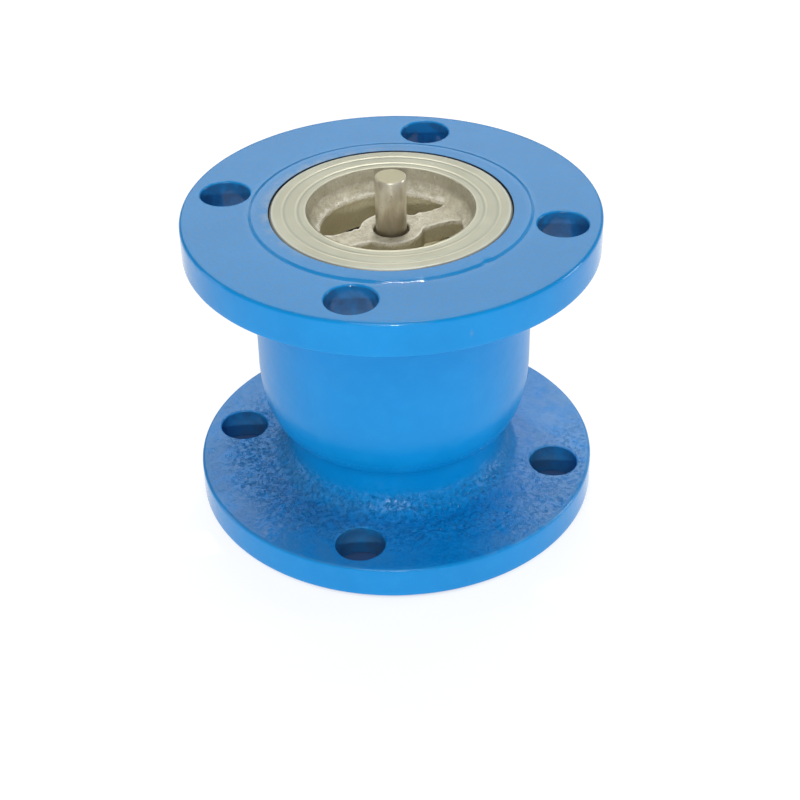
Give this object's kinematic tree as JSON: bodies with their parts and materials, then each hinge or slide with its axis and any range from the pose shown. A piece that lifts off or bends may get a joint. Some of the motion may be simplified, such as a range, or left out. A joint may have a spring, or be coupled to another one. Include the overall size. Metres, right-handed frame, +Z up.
{
  "type": "double-flanged silent check valve",
  "caption": "Double-flanged silent check valve: a cast body, a flush seat ring with a two-arm guide, and a spring-loaded disc on a guided stem.",
  "frame": {"origin": "centre of the outlet raised face, the valve's base, on the bore's axis", "axes": "+Z up the bore's axis from the outlet face to the inlet face, where the stem stands proud; the bolt holes straddle X and Y at 45 degrees; +X and +Y are otherwise arbitrary"},
  "size_m": [0.153, 0.153, 0.1327],
  "materials": {
    "blue_enamel": "gloss enamel over an as-cast iron skin",
    "nickel_brass": "turned face, as-cast bore and arms",
    "bronze": "satin, as machined",
    "stainless_steel": "turned",
    "spring_steel": "drawn wire",
    "bush_polymer": "matte, self-lubricating",
    "nitrile_rubber": "matte black",
    "gasket_fibre": "compressed fibre sheet"
  },
  "bodies": {
    "valve_body": {"valve_body": "blue_enamel", "seat_ring": "nickel_brass", "seat_gasket": "gasket_fibre", "seat_o_ring": "nitrile_rubber", "upper_guide_bush": "bush_polymer", "guide_spider": "bronze", "lower_guide_bush": "bush_polymer", "guide_snap_ring": "spring_steel", "lower_spring_seat": "stainless_steel", "closing_spring": "spring_steel"},
    "spring_seat": {"upper_spring_seat": "stainless_steel"},
    "disc_assembly": {"stem": "stainless_steel", "disc": "bronze", "disc_seal": "nitrile_rubber", "seal_retainer": "bronze", "retainer_screw_1": "stainless_steel", "retainer_screw_2": "stainless_steel", "retainer_screw_3": "stainless_steel", "retainer_screw_4": "stainless_steel", "disc_washer": "stainless_steel", "disc_lock_washer": "stainless_steel", "disc_nut": "stainless_steel"}
  },
  "joints": [
    {"name": "disc_lift", "type": "slide", "parent": "valve_body", "child": "spring_seat", "axis": [0, 0, -1], "range_m": [0, 0.015], "stiffness_N_per_m": 1120, "springref_m": -0.0134, "deforming": ["closing_spring"]},
    {"name": "disc_spin", "type": "hinge", "parent": "spring_seat", "child": "disc_assembly", "pos_m": [0, 0, 0.0985], "axis": [0, 0, 1], "continuous": true}
  ]
}
